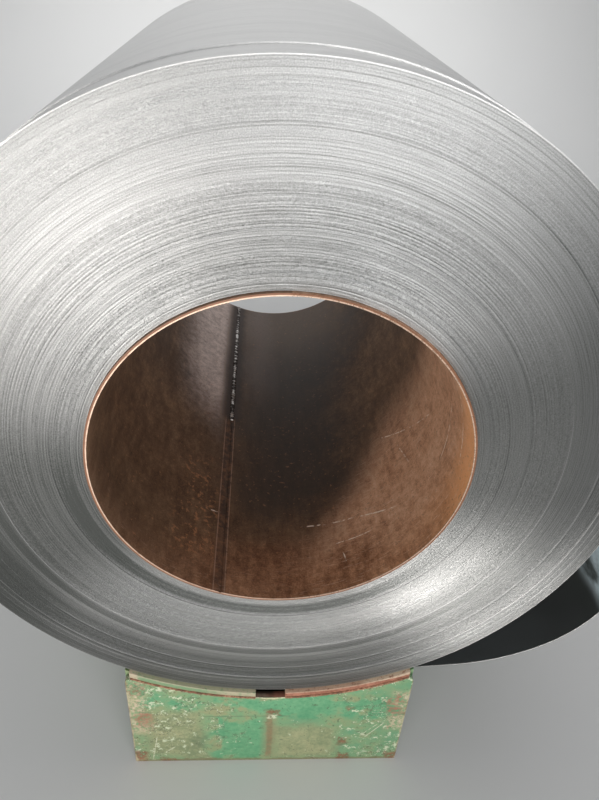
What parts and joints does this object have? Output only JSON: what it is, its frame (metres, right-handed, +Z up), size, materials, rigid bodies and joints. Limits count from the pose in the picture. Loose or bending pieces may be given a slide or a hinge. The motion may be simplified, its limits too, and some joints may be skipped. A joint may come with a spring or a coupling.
{
  "type": "steel coil",
  "caption": "Wide coil of bright cold-rolled steel strip on a rusty welded sleeve, its loose outermost lap sprung away, lying in a green plate saddle.",
  "frame": {"origin": "on the underside of the saddle, below the middle of the coil", "axes": "+X to the right seen from the near end, +Y along the coil's axis away from the near end, +Z up"},
  "size_m": [1.1046, 1.021, 1.2142],
  "materials": {
    "strip_steel": "bright cold-rolled surface, fine turns on the ends",
    "sleeve_steel": "rolled plate with brown rust and a welded seam",
    "saddle_paint": "worn green paint, chipped and rusty at the edges"
  },
  "bodies": {
    "root": {"coil": "strip_steel", "sleeve": "sleeve_steel", "saddle_near_plate": "saddle_paint", "saddle_far_plate": "saddle_paint", "saddle_bed_left": "saddle_paint", "saddle_bed_right": "saddle_paint", "saddle_side_left": "saddle_paint", "saddle_side_right": "saddle_paint", "saddle_rib_left": "saddle_paint", "saddle_rib_right": "saddle_paint", "saddle_base": "saddle_paint"}
  },
  "joints": []
}
